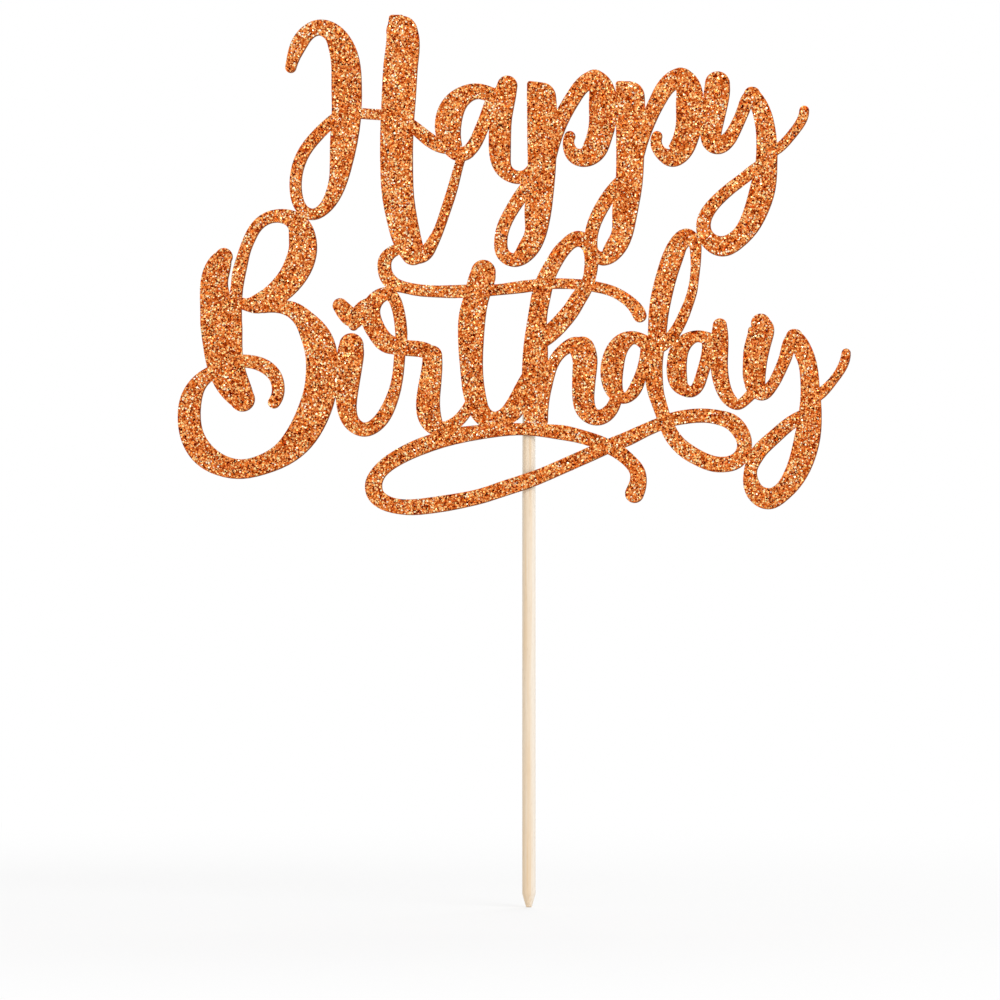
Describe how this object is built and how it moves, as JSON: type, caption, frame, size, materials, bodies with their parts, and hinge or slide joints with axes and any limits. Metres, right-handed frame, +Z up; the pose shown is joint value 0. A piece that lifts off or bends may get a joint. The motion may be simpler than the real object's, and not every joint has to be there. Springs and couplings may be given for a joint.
{
  "type": "cake topper",
  "caption": "Glitter-card cake topper: a die-cut sheet of joined script lettering in two lines over a looping swash, glued to a round wooden stick that is pushed into a cake.",
  "frame": {"origin": "on the stick's axis, where the stick begins to stand clear of the cake, 12.6 mm under the lower edge of the lower swash stroke at the stick", "axes": "+Z up along the stick, +X to the right of a reader, the lettering faces -Y"},
  "size_m": [0.15, 0.0041, 0.1991],
  "materials": {
    "orange_glitter": "coarse orange-gold glitter flakes in clear binder",
    "card": "matt uncoated card, pale core and back",
    "pale_wood": "bare pale birch or bamboo, fine straight grain",
    "clear_glue": "milky translucent hot-melt glue"
  },
  "bodies": {
    "root": {"glitter_coat": "orange_glitter", "card_sheet": "card", "stick": "pale_wood", "upper_glue": "clear_glue", "middle_glue": "clear_glue", "lower_glue": "clear_glue"}
  },
  "joints": []
}
